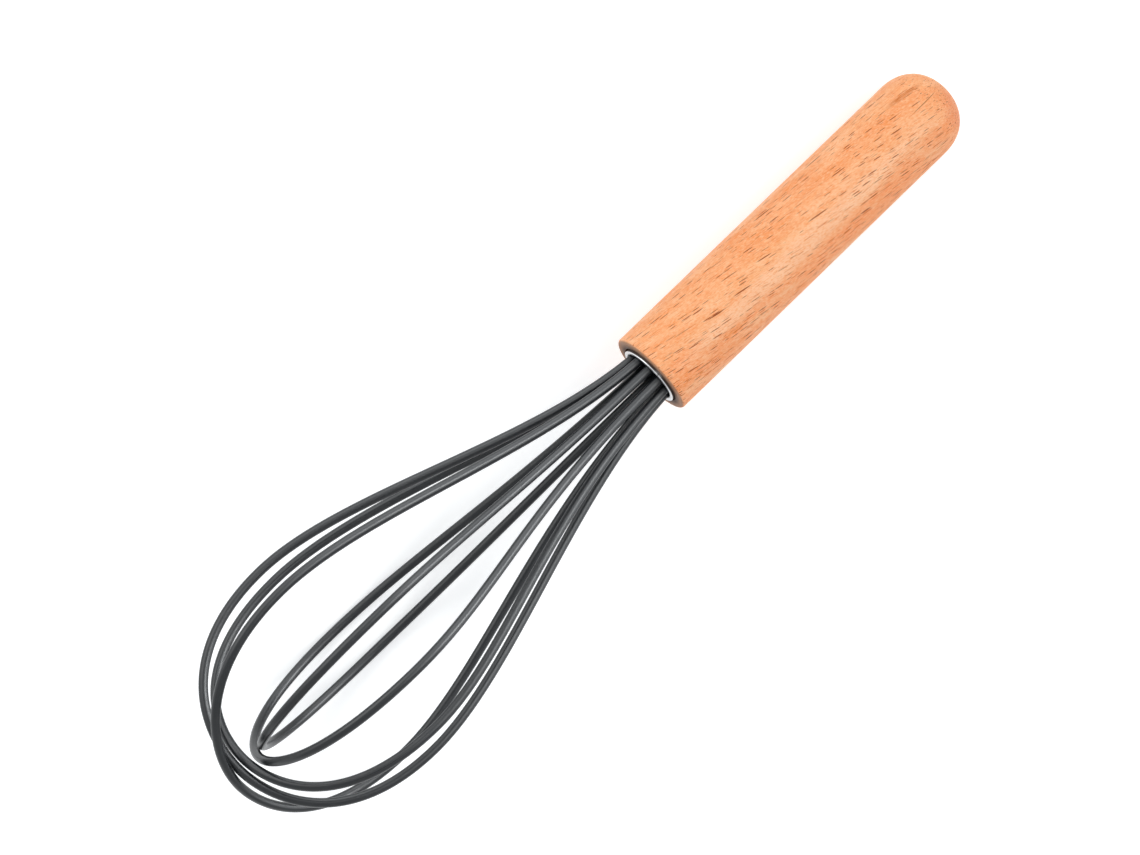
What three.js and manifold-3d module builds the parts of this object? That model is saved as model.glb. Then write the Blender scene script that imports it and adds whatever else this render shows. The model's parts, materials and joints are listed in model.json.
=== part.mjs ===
// Balloon whisk lying on a table: a turned beech handle, a rolled steel ferrule in its mouth, and five
// loops of silicone-covered wire whose ten ends are held by a plug inside the ferrule.
// Lengths are millimetres and angles are degrees.
import * as THREE from 'three';
import { mergeVertices } from 'three/addons/utils/BufferGeometryUtils.js';
import Module from 'manifold-3d';

// Strands
const WIRE_DIAMETER = 1.2;
const WIRE_FIT = 0.2;         // gap all round the wire inside its sleeve
const SLEEVE_WALL = 0.5;
const ROOT_GAP = 1.2;         // gap between neighbouring strands where they leave the plug

// Balloon, measured along the whisk's axis from the handle's mouth
const BALLOON_LENGTH = 156.5; // middle of the outermost strand at the crown
const CROWN_GAP = 0.2;        // gap between loops that cross at the crown
const BELLY_BACK = 41;        // widest place of each loop, behind its own crown
const BELLY_PULL = 31;        // how far a strand keeps the belly's direction on the handle's side
const CROWN_PULL = 32;        // and on the crown's side
const CROWN_SPREAD = 13;      // half width over which a loop runs square across the crown

// Loops, from the outermost crown inwards, each bent by hand. BELLY is the half width at the widest place and
// ROOT how far a strand keeps the plug's direction. Between plug and belly the loop moves sideways by SWAY,
// its plane turns by the angle TWIST, and on the way it curves aside by BOW. DROP is room at inner crowns.
const LOOP_1_BELLY = 35.5;
const LOOP_1_ROOT = 46;
const LOOP_1_SWAY = 0.3;
const LOOP_1_BOW = -0.6;
const LOOP_1_TWIST = 1;
const LOOP_2_BELLY = 33;
const LOOP_2_ROOT = 40;
const LOOP_2_SWAY = -1.5;
const LOOP_2_BOW = 0;
const LOOP_2_TWIST = 8;
const LOOP_3_BELLY = 31;
const LOOP_3_ROOT = 40;
const LOOP_3_SWAY = -1.5;
const LOOP_3_BOW = -1.2;
const LOOP_3_TWIST = -8;
const LOOP_4_BELLY = 32.5;
const LOOP_4_ROOT = 60;
const LOOP_4_SWAY = 1.7;
const LOOP_4_BOW = -0.4;
const LOOP_4_TWIST = 4;
const LOOP_5_BELLY = 31.2;
const LOOP_5_ROOT = 65;
const LOOP_5_SWAY = -1.3;
const LOOP_5_BOW = 0.2;
const LOOP_5_TWIST = -6;
const INNER_DROP = 0.7;
const LOOPS = [
  {
    belly: LOOP_1_BELLY,
    root: LOOP_1_ROOT,
    sway: LOOP_1_SWAY,
    bow: LOOP_1_BOW,
    twist: LOOP_1_TWIST,
    drop: 0,
  },
  {
    belly: LOOP_2_BELLY,
    root: LOOP_2_ROOT,
    sway: LOOP_2_SWAY,
    bow: LOOP_2_BOW,
    twist: LOOP_2_TWIST,
    drop: 0,
  },
  {
    belly: LOOP_3_BELLY,
    root: LOOP_3_ROOT,
    sway: LOOP_3_SWAY,
    bow: LOOP_3_BOW,
    twist: LOOP_3_TWIST,
    drop: 0,
  },
  {
    belly: LOOP_4_BELLY,
    root: LOOP_4_ROOT,
    sway: LOOP_4_SWAY,
    bow: LOOP_4_BOW,
    twist: LOOP_4_TWIST,
    drop: INNER_DROP,
  },
  {
    belly: LOOP_5_BELLY,
    root: LOOP_5_ROOT,
    sway: LOOP_5_SWAY,
    bow: LOOP_5_BOW,
    twist: LOOP_5_TWIST,
    drop: INNER_DROP,
  },
];
const FIRST_LOOP_ANGLE = -36; // plane of the first loop, from level, seen from the balloon's end

// Plug
const PLUG_RECESS = 6;        // face of the plug, inside the handle's mouth
const PLUG_LENGTH = 18;
const PLUG_WALL = 0.45;       // wall outside the strand holes
const PLUG_CHAMFER = 0.6;
const STRAND_INSERT = 12;     // length of each strand end inside the plug
const HOLE_FIT = 0.3;         // gap round and below a strand end in its hole

// Ferrule
const FERRULE_FIT = 0.3;      // gap inside and outside the ferrule
const FERRULE_WALL = 0.5;
const FERRULE_PROUD = 0.75;
const SEAM_GAP = 0.3;
const SEAM_ANGLE = 87;        // from level, on the upper side

// Handle
const HANDLE_LENGTH = 114.2;  // from the mouth to the tip of the dome
const HANDLE_WALL = 3.2;      // wood round the ferrule
const MOUTH_ROUND = 0.8;      // rounded outer edge of the mouth
const DOME_DEPTH = 12.6;      // length of the rounded butt
const DOME_FULLNESS = 2.27;   // 2 rounds the butt as an ellipse, and more makes it squarer

// Faceting
const SLEEVE_SIDES = 8;
const WIRE_SIDES = 6;
const STRAND_STEPS = 48;
const HOLE_SIDES = 10;
const TURNED_SIDES = 48;
const DOME_STEPS = 9;
const ROUND_STEPS = 3;
const WELD = 1e-4;            // corners closer than this are one corner
const REST_POINTS = 200;      // points along each loop that are tried against the table
const REST_TILT_LIMIT = 45;
const REST_TILT_STEP = 1e-4;

const radians = THREE.MathUtils.degToRad;

const wireRadius = WIRE_DIAMETER / 2;
const sleeveBore = wireRadius + WIRE_FIT;
const sleeveRadius = sleeveBore + SLEEVE_WALL;
const strandCount = 2 * LOOPS.length;
const strandPitch = 360 / strandCount;
const rootRadius = (sleeveRadius + ROOT_GAP / 2) / Math.sin(radians(strandPitch / 2));
const holeRadius = sleeveRadius + HOLE_FIT;
const plugRadius = rootRadius + holeRadius + PLUG_WALL;
const ferruleInner = plugRadius + FERRULE_FIT;
const ferruleOuter = ferruleInner + FERRULE_WALL;
const ferruleLength = FERRULE_PROUD + PLUG_RECESS + PLUG_LENGTH;
const boreRadius = ferruleOuter + FERRULE_FIT;
const boreDepth = PLUG_RECESS + PLUG_LENGTH + FERRULE_FIT;
const handleRadius = boreRadius + HANDLE_WALL;
const domeStart = DOME_DEPTH - HANDLE_LENGTH;

const beech = new THREE.MeshStandardMaterial({ color: 0xf2ae82, roughness: 0.55, metalness: 0 });
const silicone = new THREE.MeshStandardMaterial({ color: 0x535556, roughness: 0.5, metalness: 0 });
const steel = new THREE.MeshStandardMaterial({ color: 0xc9cbcd, roughness: 0.25, metalness: 1 });
const wireSteel = new THREE.MeshStandardMaterial({ color: 0x9fa2a5, roughness: 0.35, metalness: 1 });
const plugPlastic = new THREE.MeshStandardMaterial({ color: 0x2c2d2e, roughness: 0.7, metalness: 0 });

// The whisk's axis is +X, from the handle to the balloon, with the handle's mouth at X = 0.
const whisk = new THREE.Group();

function addPiece(name, geometry, material) {
  const mesh = new THREE.Mesh(geometry, material);
  mesh.name = name;
  whisk.add(mesh);
}

// A turned piece: the profile's x is the radius and its y the place along the whisk's axis.
function turned(profile, sides) {
  return new THREE.LatheGeometry(profile, sides).rotateZ(-Math.PI / 2);
}

// The butt's outline is a quarter of a superellipse, from its tip to the straight part of the handle.
function domePoints() {
  const power = 2 / DOME_FULLNESS;
  return Array.from({ length: DOME_STEPS + 1 }, (_, i) => {
    const turn = radians(90 * i / DOME_STEPS);
    const radius = handleRadius * Math.sin(turn) ** power;
    return new THREE.Vector2(radius, domeStart - DOME_DEPTH * Math.cos(turn) ** power);
  });
}

function mouthPoints() {
  const edge = handleRadius - MOUTH_ROUND;
  const round = new THREE.EllipseCurve(edge, -MOUTH_ROUND, MOUTH_ROUND, MOUTH_ROUND, 0, Math.PI / 2);
  return round.getPoints(ROUND_STEPS);
}

function handleGeometry() {
  return turned([
    ...domePoints(),
    ...mouthPoints(),
    new THREE.Vector2(boreRadius, 0),
    new THREE.Vector2(boreRadius, -boreDepth),
    new THREE.Vector2(0, -boreDepth),
  ], TURNED_SIDES);
}

// The ferrule is a strip rolled into a ring, so its section is a ring with a narrow gap at the seam.
// The section's x is turned to -Z and its y stays +Y when the extrusion is laid along the whisk.
function ferruleGeometry() {
  const seam = radians(SEAM_ANGLE + 90);
  const outerHalf = Math.asin(SEAM_GAP / 2 / ferruleOuter);
  const innerHalf = Math.asin(SEAM_GAP / 2 / ferruleInner);
  const section = new THREE.Shape();
  section.absarc(0, 0, ferruleOuter, seam + outerHalf, seam + 2 * Math.PI - outerHalf, false);
  section.absarc(0, 0, ferruleInner, seam + 2 * Math.PI - innerHalf, seam + innerHalf, true);
  const options = { depth: ferruleLength, bevelEnabled: false, curveSegments: TURNED_SIDES / 2 };
  const ring = new THREE.ExtrudeGeometry(section, options).rotateY(Math.PI / 2);
  return ring.translate(FERRULE_PROUD - ferruleLength, 0, 0);
}

// One loop's centre line: straight in the plug, out to the belly, round the crown and back on the other side.
class LoopPath extends THREE.Curve {
  constructor(loop, index) {
    super();
    this.loop = loop;
    this.angle = FIRST_LOOP_ANGLE + index * strandPitch;
    const crown = BALLOON_LENGTH - index * (2 * sleeveRadius + CROWN_GAP) - loop.drop;
    this.root = -PLUG_RECESS;
    this.bellyPlace = crown - BELLY_BACK;
    const end = new THREE.Vector2(this.root - STRAND_INSERT, rootRadius);
    const face = new THREE.Vector2(this.root, rootRadius);
    const faceAim = new THREE.Vector2(this.root + loop.root, rootRadius);
    const bellyAim = new THREE.Vector2(this.bellyPlace - BELLY_PULL, loop.belly);
    const belly = new THREE.Vector2(this.bellyPlace, loop.belly);
    const crownAim = new THREE.Vector2(this.bellyPlace + CROWN_PULL, loop.belly);
    const crownSide = new THREE.Vector2(crown, CROWN_SPREAD);
    const top = new THREE.Vector2(crown, 0);
    this.profile = new THREE.CurvePath();
    this.profile.add(new THREE.LineCurve(end, face));
    this.profile.add(new THREE.CubicBezierCurve(face, faceAim, bellyAim, belly));
    this.profile.add(new THREE.CubicBezierCurve(belly, crownAim, crownSide, top));
  }

  getPoint(t, target = new THREE.Vector3()) {
    const side = t < 0.5 ? 1 : -1;
    const point = this.profile.getPoint(1 - Math.abs(1 - 2 * t));
    const bent = THREE.MathUtils.smoothstep(point.x, this.root, this.bellyPlace);
    const angle = radians(this.angle + this.loop.twist * bent);
    const across = side * point.y;
    const aside = this.loop.sway * bent + this.loop.bow * 4 * bent * (1 - bent);
    return target.set(point.x, across * Math.cos(angle) + aside, across * Math.sin(angle));
  }
}

function polygon(radius, sides) {
  const corner = (i) => radians((i + 0.5) * 360 / sides);
  return Array.from({ length: sides }, (_, i) => new THREE.Vector2(
    radius * Math.cos(corner(i)),
    radius * Math.sin(corner(i)),
  ));
}

function along(path, section) {
  return new THREE.ExtrudeGeometry(section, { steps: STRAND_STEPS, extrudePath: path, bevelEnabled: false });
}

function sleeveGeometry(path) {
  const section = new THREE.Shape(polygon(sleeveRadius, SLEEVE_SIDES));
  section.holes.push(new THREE.Path(polygon(sleeveBore, WIRE_SIDES)));
  return along(path, section);
}

function wireGeometry(path) {
  return along(path, new THREE.Shape(polygon(wireRadius, WIRE_SIDES)));
}

const wasm = await Module();
wasm.setup();

function solid(geometry) {
  const bare = geometry.clone();
  bare.deleteAttribute('normal');
  bare.deleteAttribute('uv');
  const merged = mergeVertices(bare, WELD);
  return new wasm.Manifold(new wasm.Mesh({
    numProp: 3,
    vertProperties: new Float32Array(merged.attributes.position.array),
    triVerts: new Uint32Array(merged.index.array),
  }));
}

function geometryOf(body) {
  const mesh = body.getMesh();
  const geometry = new THREE.BufferGeometry();
  geometry.setAttribute('position', new THREE.BufferAttribute(new Float32Array(mesh.vertProperties), 3));
  geometry.setIndex(new THREE.BufferAttribute(new Uint32Array(mesh.triVerts), 1));
  return geometry;
}

// The plug is a turned piece with one blind hole for each strand end.
function plugGeometry() {
  const face = -PLUG_RECESS;
  const foot = face - PLUG_LENGTH;
  let body = solid(turned([
    new THREE.Vector2(0, foot),
    new THREE.Vector2(plugRadius, foot),
    new THREE.Vector2(plugRadius, face - PLUG_CHAMFER),
    new THREE.Vector2(plugRadius - PLUG_CHAMFER, face),
    new THREE.Vector2(0, face),
  ], TURNED_SIDES));
  const depth = STRAND_INSERT + HOLE_FIT;
  for (let i = 0; i < strandCount; i += 1) {
    const angle = radians(FIRST_LOOP_ANGLE + i * strandPitch);
    const drill = new THREE.CylinderGeometry(holeRadius, holeRadius, 2 * depth, HOLE_SIDES);
    drill.rotateZ(-Math.PI / 2);
    drill.translate(face, rootRadius * Math.cos(angle), rootRadius * Math.sin(angle));
    body = body.subtract(solid(drill));
  }
  return geometryOf(body);
}

const paths = LOOPS.map((loop, index) => new LoopPath(loop, index));

// Resting tilt: the angle at which the lowest strand and the handle's dome touch the same table.
function restTilt() {
  const points = paths.flatMap((path) => path.getSpacedPoints(REST_POINTS));
  const dome = domePoints();
  const strandHeight = (tilt) => Math.min(...points.map(
    (point) => point.x * Math.sin(tilt) + point.z * Math.cos(tilt) - sleeveRadius,
  ));
  const domeHeight = (tilt) => Math.min(...dome.map(
    (point) => point.y * Math.sin(tilt) - point.x * Math.cos(tilt),
  ));
  let low = 0;
  let high = radians(REST_TILT_LIMIT);
  while (high - low > radians(REST_TILT_STEP)) {
    const tilt = (low + high) / 2;
    if (strandHeight(tilt) < domeHeight(tilt)) low = tilt;
    else high = tilt;
  }
  return high;
}

addPiece('handle', handleGeometry(), beech);
addPiece('ferrule', ferruleGeometry(), steel);
addPiece('wire_plug', plugGeometry(), plugPlastic);
paths.forEach((path, index) => {
  addPiece(`loop_${index + 1}_sleeve`, sleeveGeometry(path), silicone);
  addPiece(`loop_${index + 1}_wire`, wireGeometry(path), wireSteel);
});

// The whisk lies on the table, balloon end up, with the origin under the middle of its box.
whisk.rotation.y = -restTilt();
const part = new THREE.Group();
part.add(whisk);
part.updateMatrixWorld(true);
const box = new THREE.Box3().setFromObject(part, true);
const middle = box.getCenter(new THREE.Vector3());
whisk.position.set(-middle.x, -middle.y, -box.min.z);

export default part;
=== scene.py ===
# %% [markdown]
# A balloon whisk with silicone loops
#
# The imported CAD model gives the whisk's solids in metres, lying on a table at height zero.
# This lesson loads them as a fixed frame and dresses each one with a smooth surface and a finish.
# The bare solids are hidden rather than removed, so their box is kept.

# %% Load the frame
import json
import math
import bpy
import numpy as np
from mathutils import Matrix


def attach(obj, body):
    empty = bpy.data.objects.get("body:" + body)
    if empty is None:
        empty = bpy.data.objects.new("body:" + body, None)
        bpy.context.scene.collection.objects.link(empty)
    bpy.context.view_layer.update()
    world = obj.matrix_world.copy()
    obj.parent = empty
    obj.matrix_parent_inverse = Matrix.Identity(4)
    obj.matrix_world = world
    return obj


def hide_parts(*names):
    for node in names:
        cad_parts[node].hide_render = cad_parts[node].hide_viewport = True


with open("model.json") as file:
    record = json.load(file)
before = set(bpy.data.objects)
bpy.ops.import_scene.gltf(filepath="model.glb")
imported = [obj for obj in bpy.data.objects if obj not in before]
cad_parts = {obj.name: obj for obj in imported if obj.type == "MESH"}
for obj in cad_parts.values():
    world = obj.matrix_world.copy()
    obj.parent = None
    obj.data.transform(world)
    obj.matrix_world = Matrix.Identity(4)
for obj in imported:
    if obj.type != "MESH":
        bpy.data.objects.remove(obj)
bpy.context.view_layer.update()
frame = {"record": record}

# %% [markdown]
# The whisk lies askew on the table, with its dome and its lowest strand touching it.
# It is far easier to shape pieces straight, along an axis of their own, and to lay them down at the end.
# The record's mount sits on the flat end of the handle and looks along that axis, so it gives all we need:
# a direction towards the balloon, and the middle of the handle's mouth a known step below the mount.

# %% The whisk's own axes
MM = 0.001
MOUNT_HEIGHT = 10.2 * MM

mount = frame["record"]["mounts"][0]
along = np.array(mount["axis"]) / np.linalg.norm(mount["axis"])
sideways = np.array([0.0, 1.0, 0.0])
upward = np.cross(along, sideways)
mouth = np.array(mount["pos_m"]) - MOUNT_HEIGHT * upward


def laid_down(s, y, z):
    """Frame point of whisk coordinates: mouth + s * along + y * sideways + z * upward."""
    s, y, z = np.broadcast_arrays(s, y, z)
    return mouth + s[..., None] * along + y[..., None] * sideways + z[..., None] * upward


print("mouth at", np.round(mouth, 5), "axis", np.round(along, 4))

# %% [markdown]
# The camera comes next, because it decides which details are worth the work.
# The photograph looks almost straight down with a long lens, the balloon towards the lower left.
# The view is set from what can be read in the picture: where the mouth lies, which way the axis points,
# how far it leans towards the lens, and how many pixels a millimetre takes.

# %% The camera
PICTURE_WIDTH, PICTURE_HEIGHT = 1140, 855
MOUTH_PIXEL_X, MOUTH_PIXEL_Y = 650.2, 374.8
PIXELS_PER_METRE = 3720
CAMERA_DISTANCE = 1.5
BALLOON_HEADING = math.radians(44.02)   # below the picture's left
LEAN = math.radians(11.5)               # of the axis, balloon end towards the camera
ROLL = math.radians(5.95)               # of the whisk about its own axis
SENSOR_WIDTH = 36

to_right_hand = math.cos(ROLL) * sideways + math.sin(ROLL) * upward
to_top = math.cos(ROLL) * upward - math.sin(ROLL) * sideways
to_balloon = math.cos(LEAN) * along - math.sin(LEAN) * to_top
to_camera = math.sin(LEAN) * along + math.cos(LEAN) * to_top
picture_right = math.sin(BALLOON_HEADING) * to_right_hand - math.cos(BALLOON_HEADING) * to_balloon
picture_down = math.cos(BALLOON_HEADING) * to_right_hand + math.sin(BALLOON_HEADING) * to_balloon
mouth_right = (MOUTH_PIXEL_X - PICTURE_WIDTH / 2) / PIXELS_PER_METRE
mouth_down = (MOUTH_PIXEL_Y - PICTURE_HEIGHT / 2) / PIXELS_PER_METRE
aim = mouth - mouth_right * picture_right - mouth_down * picture_down

camera = bpy.data.objects.new("camera", bpy.data.cameras.new("camera"))
camera.data.sensor_width = SENSOR_WIDTH
camera.data.lens = SENSOR_WIDTH * PIXELS_PER_METRE * CAMERA_DISTANCE / PICTURE_WIDTH
turn = np.column_stack([picture_right, -picture_down, to_camera])
camera.matrix_world = Matrix.Translation(aim + CAMERA_DISTANCE * to_camera) @ Matrix(turn).to_4x4()
bpy.context.scene.collection.objects.link(camera)
bpy.context.scene.camera = camera
bpy.context.scene.view_settings.view_transform = "Standard"
print("lens", round(camera.data.lens, 1), "mm, aimed at", np.round(aim, 4))

# %% [markdown]
# Every surface here is a grid of points worked out at once as an array, so one small set of helpers serves
# them all. The first names the grid's quads, the second joins corners that share a place, so that
# the rings at a pole shrink to a point, and the third makes sure that the faces look outwards.

# %% From grids to meshes
WELD = 1e-7


def grid_quads(rows, columns, wrap):
    """Quads of a grid stored row by row; wrap joins the last column to the first."""
    i, j = np.meshgrid(np.arange(rows - 1), np.arange(columns if wrap else columns - 1), indexing="ij")
    k = (j + 1) % columns
    corners = [i * columns + j, i * columns + k, (i + 1) * columns + k, (i + 1) * columns + j]
    return np.stack(corners, axis=-1).reshape(-1, 4)


def welded(points, quads):
    """Corners at one place become one corner, and a quad with two of them becomes a triangle."""
    _, first, back = np.unique(np.round(points / WELD), axis=0, return_index=True, return_inverse=True)
    quads = back.reshape(-1)[quads]
    same = quads == np.roll(quads, -1, axis=1)
    whole = quads[~same.any(axis=1)]
    cut = [np.roll(quads[same[:, k] & (same.sum(axis=1) == 1)], -k - 1, axis=1)[:, :3] for k in range(4)]
    return points[first], [whole, np.concatenate(cut)]


def volume(points, face_sets):
    """A sixth of the sum of a . (b x c) over the triangles: positive if the faces look outwards."""
    fans = [f[:, [0, k, k + 1]] for f in face_sets for k in range(1, f.shape[1] - 1)]
    a, b, c = (points[np.concatenate(fans)[:, n]] for n in range(3))
    return np.einsum("ij,ij->", a, np.cross(b, c)) / 6


def add_piece(name, points, face_sets, finish, slot, node, crease=30):
    """A mesh object at the origin that stands for one CAD node and rides on the whisk."""
    if volume(points, face_sets) < 0:
        face_sets = [f[:, ::-1] for f in face_sets]
    mesh = bpy.data.meshes.new(name)
    mesh.from_pydata(points.tolist(), [], [face for f in face_sets for face in f.tolist()])
    mesh.shade_smooth()
    mesh.set_sharp_from_angle(angle=math.radians(crease))
    mesh.materials.append(finish)
    piece = bpy.data.objects.new(name, mesh)
    bpy.context.scene.collection.objects.link(piece)
    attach(piece, "root")
    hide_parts(node)
    print(name, len(mesh.vertices), "corners,", round(volume(points, face_sets) / MM ** 3), "cubic mm")
    return piece


def store(piece, name, values):
    """One number for each corner of the piece's mesh, kept there under this name."""
    numbers = piece.data.attributes.new(name, "FLOAT", "POINT")
    numbers.data.foreach_set("value", values.reshape(-1).astype(np.float32))


# %% [markdown]
# A finish is a graph of shader nodes. Writing each node as one call, with its settings and its inputs side by
# side, keeps such a graph readable: a plain value fills a socket, and another node's output is linked to it.

# %% Helpers for finishes
MIX_FACTOR, MIX_A, MIX_B, MIX_RESULT = 0, 6, 7, 2   # colour sockets of the Mix node


def new_finish(name):
    """A material with a Principled shader, and that shader."""
    finish = bpy.data.materials.new(name)
    finish.use_nodes = True
    return finish, finish.node_tree.nodes["Principled BSDF"]


def fill(finish, node, inputs):
    """Each input is a value for the socket or an output to link to it."""
    for name, value in inputs.items():
        if isinstance(value, bpy.types.NodeSocket):
            finish.node_tree.links.new(value, node.inputs[name])
        else:
            node.inputs[name].default_value = value


def add_node(finish, kind, inputs, **settings):
    """A shader node with its settings and inputs."""
    node = finish.node_tree.nodes.new("ShaderNode" + kind)
    for name, value in settings.items():
        setattr(node, name, value)
    fill(finish, node, inputs)
    return node


def mapped(finish, vector, **inputs):
    """The vector scaled, then turned, then moved, by what is given of Scale, Rotation and Location."""
    return add_node(finish, "Mapping", {"Vector": vector, **inputs}).outputs["Vector"]


def stretched(finish, vector, sizes):
    """The vector measured in units of the given sizes along its three axes."""
    return mapped(finish, vector, Scale=tuple(1 / size for size in sizes))


def clouds(finish, vector, sizes, detail=3.0, roughness=0.5):
    """Noise from 0 to 1 whose clouds have the given sizes."""
    place = stretched(finish, vector, sizes)
    inputs = {"Vector": place, "Scale": 1.0, "Detail": detail, "Roughness": roughness}
    return add_node(finish, "TexNoise", inputs).outputs["Fac"]


def ramp(finish, value, start, end, low=0.0, high=1.0):
    """A smooth step from low, where the value is at start, to high, where it is at end."""
    inputs = {"Value": value, "From Min": start, "From Max": end, "To Min": low, "To Max": high}
    return add_node(finish, "MapRange", inputs, interpolation_type="SMOOTHSTEP").outputs["Result"]


def math_of(finish, operation, a, b):
    """One sum, product or comparison of two numbers."""
    return add_node(finish, "Math", {0: a, 1: b}, operation=operation).outputs[0]


def vector_of(finish, operation, a, b):
    """One sum or difference of two vectors."""
    return add_node(finish, "VectorMath", {0: a, 1: b}, operation=operation).outputs["Vector"]


def length_of(finish, vector):
    """The length of a vector: the root of the sum of its squares."""
    return add_node(finish, "VectorMath", {0: vector}, operation="LENGTH").outputs["Value"]


def mixed(finish, factor, a, b):
    """Colour a where the factor is 0 and b where it is 1."""
    inputs = {MIX_FACTOR: factor, MIX_A: a, MIX_B: b}
    return add_node(finish, "Mix", inputs, data_type="RGBA").outputs[MIX_RESULT]


def mark(finish, name):
    """The number that a mesh keeps under this name at its corners."""
    return add_node(finish, "Attribute", {}, attribute_name=name).outputs["Fac"]


def bumps(finish, height, depth, strength):
    """A normal tilted as though the surface rose by the height times the depth."""
    inputs = {"Height": height, "Distance": depth, "Strength": strength}
    return add_node(finish, "Bump", inputs).outputs["Normal"]


def axes_turn(x, y):
    """The rotation that turns direction x to the X axis and y to the Y axis."""
    return Matrix(np.array([x, y, np.cross(x, y)])).to_euler()


print("helpers ready")

# %% [markdown]
# Beech is a pale pinkish wood sprinkled with short dark flecks, the ends of its rays, all in line with its
# fibres. On this handle the fibres run a little across the axis and wind round it, so the flecks lie slanted.
# A picture of wood would stretch over the dome; a solid pattern, turned more and more along the axis, is cut
# by the surface as real wood is. Each fleck is a spindle about the middle of a long thin Voronoi cell, with
# a random size, so that some are bold and many are faint.

# %% Beech
GRAIN_SLANT = math.radians(3)       # of the fibres across the axis
GRAIN_WIND = math.radians(8)        # of the fibres round the axis, seen at the surface
GRAIN_RADIUS = 12.7 * MM
GRAIN_SWAY = 1.6 * MM
SWAYS_PER_METRE = 35
LONG_FLECKS = ((10 * MM, 1.3 * MM), (4.2 * MM, 0.22 * MM), 0.25)    # cell, greatest half size, rarity
SHORT_FLECKS = ((3.6 * MM, 0.6 * MM), (2.3 * MM, 0.175 * MM), 0.0)
HAIRS = ((4.5 * MM, 0.45 * MM), (2.6 * MM, 0.17 * MM), -0.3)
SMUDGE_PLACE = (-101 * MM, -17.7 * MM, -2.8 * MM)   # along and across the wound fibres
SMUDGE_HALF = (8 * MM, 5 * MM, 1.3 * MM)
CHECK_PLACE = (-104.5 * MM, -2.6 * MM, 12 * MM)     # along, beside and above the axis
CHECK_HALF = (6.5 * MM, 0.18 * MM, 4 * MM)
BAND_DULL, BAND_BRIGHT = (0.862, 0.36, 0.162, 1), (0.892, 0.42, 0.202, 1)
# A deeper tone for the right-hand side: partly the wood's own band, partly painted shade of that side.
HEARTWOOD_AND_SHADE = (0.99, 0.38, 0.182, 1)
PATCH_PALE, PATCH_WARM = (0.95, 0.53, 0.30, 1), (0.88, 0.31, 0.11, 1)
MOTTLE_WARM, MOTTLE_PALE = (0.86, 0.27, 0.07, 1), (0.96, 0.56, 0.33, 1)
FIBRE, HAIR = (0.81, 0.22, 0.05, 1), (0.58, 0.10, 0.004, 1)
SHORT_FLECK, LONG_FLECK = (0.23, 0.03, 0.001, 1), (0.22, 0.03, 0.001, 1)
SMUDGE, CHECK = (0.54, 0.14, 0.03, 1), (0.28, 0.07, 0.01, 1)
# The second colour is painted shade, darkening the cut end towards the bore.
END_GRAIN, BORE_SHADE = (0.38, 0.215, 0.14, 1), (0.07, 0.035, 0.022, 1)
# Of these places, the two long pale ones along the top, just right of the middle, are painted sheen.
BLUSHES_AND_SHEEN = (   # middle, half size, share and colour of warmer and paler places
    ((-7 * MM, 3.5 * MM, 11 * MM), (10 * MM, 5.5 * MM, 8 * MM), 0.5, (0.93, 0.27, 0.075, 1)),
    ((-110 * MM, 4 * MM, 6 * MM), (9 * MM, 9 * MM, 10 * MM), 0.75, (0.78, 0.255, 0.115, 1)),
    # These two pale places are painted sheen.
    ((-76 * MM, 3 * MM, 12 * MM), (14 * MM, 3.5 * MM, 8 * MM), 0.7, (0.96, 0.58, 0.34, 1)),
    ((-52 * MM, 2.6 * MM, 12 * MM), (75 * MM, 4.5 * MM, 8 * MM), 0.7, (0.95, 0.56, 0.345, 1)),
    ((-56 * MM, -6.5 * MM, 11 * MM), (75 * MM, 4.0 * MM, 6 * MM), 0.4, (0.84, 0.30, 0.11, 1)),
    ((-72 * MM, 8.5 * MM, 9 * MM), (34 * MM, 5.0 * MM, 7 * MM), 0.5, (0.93, 0.31, 0.12, 1)),
)


def flecks(finish, grain, cell, half, rarity):
    """Dark where the distance to the cell's middle, in half sizes, is under the cell's random size."""
    place = stretched(finish, grain, (cell[0], cell[1], cell[1]))
    voronoi = add_node(finish, "TexVoronoi", {"Vector": place, "Scale": 1.0})
    offset = vector_of(finish, "SUBTRACT", place, voronoi.outputs["Position"])
    slender = half[1] / cell[1]
    distance = length_of(finish, stretched(finish, offset, (half[0] / cell[0], slender, slender)))
    chance = add_node(finish, "SeparateColor", {"Color": voronoi.outputs["Color"]}).outputs
    size = ramp(finish, chance["Red"], rarity, 1.0, 0.02, 1.0)
    inside = ramp(finish, math_of(finish, "DIVIDE", distance, size), 1.0, 0.6)
    return math_of(finish, "MULTIPLY", inside, ramp(finish, chance["Green"], 0.0, 1.0, 0.35, 1.0))


def blot(finish, place, middle, half):
    """A soft spot: 1 in the middle, and 0 at the given half sizes."""
    shift = tuple(-m / h for m, h in zip(middle, half))
    spot = mapped(finish, place, Location=shift, Scale=tuple(1 / h for h in half))
    return ramp(finish, length_of(finish, spot), 1.0, 0.2)


def fibre_coordinates(finish):
    """Whisk coordinates; the sideways one alone; all three with the fibres straightened; and those swayed."""
    place = add_node(finish, "TexCoord", {}).outputs["Object"]
    from_mouth = vector_of(finish, "SUBTRACT", place, tuple(mouth))
    own = mapped(finish, from_mouth, Rotation=axes_turn(along, sideways))
    sides = add_node(finish, "SeparateXYZ", {0: own}).outputs
    wind = math_of(finish, "MULTIPLY", sides["X"], -math.tan(GRAIN_WIND) / GRAIN_RADIUS)
    turned_back = add_node(finish, "VectorRotate", {"Vector": own, "Angle": wind}, rotation_type="X_AXIS")
    straight = mapped(finish, turned_back.outputs["Vector"], Rotation=(0, 0, GRAIN_SLANT))
    noise = add_node(finish, "TexNoise", {"Vector": straight, "Scale": SWAYS_PER_METRE, "Detail": 1.0})
    sway = mapped(finish, noise.outputs["Color"], Scale=(0, GRAIN_SWAY, GRAIN_SWAY))
    return own, sides["Y"], straight, vector_of(finish, "ADD", straight, sway)


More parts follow.
